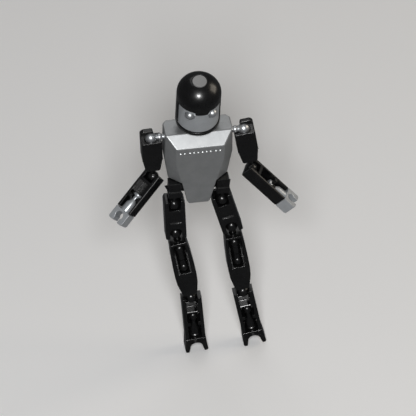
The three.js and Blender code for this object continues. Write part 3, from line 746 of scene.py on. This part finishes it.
def piece(node, place, shape, slot, finish=None):
    """Puts a drawn shape in its limb frame in place of its node; finish is for one unlike its slot's."""
    shape.name = shape.data.name = f"{node}_form"
    shape.data.transform(PLACES[place])
    shape.data.update()
    shape.data.polygons.foreach_set("use_smooth", [True] * len(shape.data.polygons))
    shape.data.set_sharp_from_angle(angle=radians(38))
    shade = shape.modifiers.new("even shading", "WEIGHTED_NORMAL")
    shade.keep_sharp = True
    shape.data.materials.clear()
    shape.data.materials.append(FINISHES[finish or slot])
    body = next(body for body, nodes in frame["record"]["behaviour"]["bodies"].items() if node in nodes)
    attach(shape, body)
    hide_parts(node)
    return shape


def copied(shape):
    twin = shape.copy()
    twin.data = shape.data.copy()
    bpy.context.scene.collection.objects.link(twin)
    return twin


piece("chest_shell", "torso", chest_shell(), "silver_shell")
piece("back_shell", "torso", back_shell(), "silver_shell")
piece("spine_frame", "torso", spine_frame(), "black_plastic")
for i, (x, z) in enumerate(SCREWS):
    screw = back_screw()
    screw.data.transform(Matrix.Translation((x, 0, z)) @ Matrix.Rotation(radians(20 + 50 * i), 4, "Y"))
    piece(f"back_screw_{i + 1}", "torso", screw, "steel")

piece("neck_stud", "neck", neck_stud(), "black_plastic")
piece("helmet_shell", "head", helmet_shell(), "black_plastic")
piece("face_plate", "head", face_plate(), "bright_silver")
piece("crown_plug", "head", crown_plug(), "grey_plug")
piece("neck_socket", "head", neck_socket(), "black_plastic")
for s, side in SIDES.items():
    piece(f"{s}_eye", "head", eye(side), "bright_silver", "bright_balls")
    piece(f"{s}_shoulder_stud", f"{s}_shoulder", shoulder_stud(side), "bright_silver", "bright_balls")
    piece(f"{s}_upper_arm", f"{s}_upper_arm", upper_arm(side), "black_plastic")

LIMB_PIECES = [  # node, limb frame, shape, slot
    ("elbow_stud", "elbow", elbow_stud, "black_plastic"),
    ("forearm_channel", "forearm", forearm_channel, "black_plastic"),
    ("hand_claw", "wrist", hand_claw, "bright_silver"),
    ("hip_stud", "hip", hip_stud, "black_plastic"),
    ("hip_link", "hip_link", hip_link, "black_plastic"),
    ("knee_stud", "knee", knee_stud, "black_plastic"),
    ("thigh_shell", "knee", thigh_shell, "black_plastic"),
    ("ankle_stud", "ankle", ankle_stud, "black_plastic"),
    ("shin_channel", "shin", shin_channel, "black_plastic"),
    ("foot_clip", "foot", foot_clip, "black_plastic"),
]
for node, place, draw, slot in LIMB_PIECES:
    shape = draw()
    twin = copied(shape)
    piece(f"left_{node}", f"left_{place}", shape, slot)
    piece(f"right_{node}", f"right_{place}", twin, slot)


# ---- Camera, floor and light --------------------------------------------------------------

AZIMUTH, ELEVATION, ROLL = radians(-9.5), radians(45), radians(0.3)
DISTANCE = 3.0
VIEW_WIDTH = 0.208  # of the plane through the top of the torso

across = Vector((math.cos(AZIMUTH), math.sin(AZIMUTH), 0))
ahead = Vector((-math.sin(AZIMUTH), math.cos(AZIMUTH), 0))
up_slope = ahead * math.sin(ELEVATION) + Vector((0, 0, math.cos(ELEVATION)))
backwards = Vector((0, 0, math.sin(ELEVATION))) - ahead * math.cos(ELEVATION)
right = across * math.cos(ROLL) + up_slope * math.sin(ROLL)
up = up_slope * math.cos(ROLL) - across * math.sin(ROLL)
target = PLACES["torso"] @ Vector((0, 0, TORSO_TOP)) + (right * 5.3 - up * 41.45) * MM

camera = bpy.data.objects.new("camera", bpy.data.cameras.new("camera"))
bpy.context.scene.collection.objects.link(camera)
camera.data.lens = camera.data.sensor_width * DISTANCE / VIEW_WIDTH
camera.data.clip_end = 20
turn = Matrix((right, up, backwards)).transposed().to_4x4()
camera.matrix_world = Matrix.Translation(target + backwards * DISTANCE) @ turn
bpy.context.scene.camera = camera

REACH = 4.0  # half the side of the floor, in metres
floor_mesh = bpy.data.meshes.new("floor")
corners = [(-REACH, -REACH, 0), (REACH, -REACH, 0), (REACH, REACH, 0), (-REACH, REACH, 0)]
floor_mesh.from_pydata(corners, [], [(0, 1, 2, 3)])
floor = bpy.data.objects.new("floor", floor_mesh)
floor.location.z = -0.0002
bpy.context.scene.collection.objects.link(floor)
paper = bpy.data.materials.new("floor")
paper.use_nodes = True
paper.node_tree.nodes["Principled BSDF"].inputs["Base Color"].default_value = (0.95, 0.95, 0.95, 1)
paper.node_tree.nodes["Principled BSDF"].inputs["Roughness"].default_value = 0.9
floor_mesh.materials.append(paper)
floor.visible_glossy = False


def softbox(name, position, aim, size, power, colour=(1, 1, 1)):
    """Square area light that faces a point."""
    lamp = bpy.data.objects.new(name, bpy.data.lights.new(name, "AREA"))
    lamp.data.size = size
    lamp.data.energy = power
    lamp.data.color = colour
    lamp.location = position
    lamp.rotation_euler = (Vector(aim) - Vector(position)).to_track_quat("-Z", "Y").to_euler()
    bpy.context.scene.collection.objects.link(lamp)


CENTRE = Vector((0, 0, 0.1))
softbox("key", CENTRE + backwards * 1.5, CENTRE, 0.32, 14)
softbox("overhead", (0, 0.9, 1.4), CENTRE, 1.1, 3.0)
softbox("window", (1.25, 0.1, 0.75), CENTRE, 0.75, 4.2, (1, 0.9, 0.76))

world = bpy.data.worlds.new("studio")
world.use_nodes = True
world.node_tree.nodes["Background"].inputs["Color"].default_value = (0.95, 0.97, 1.0, 1)
world.node_tree.nodes["Background"].inputs["Strength"].default_value = 0.07
bpy.context.scene.world = world
bpy.context.scene.view_settings.view_transform = "Standard"
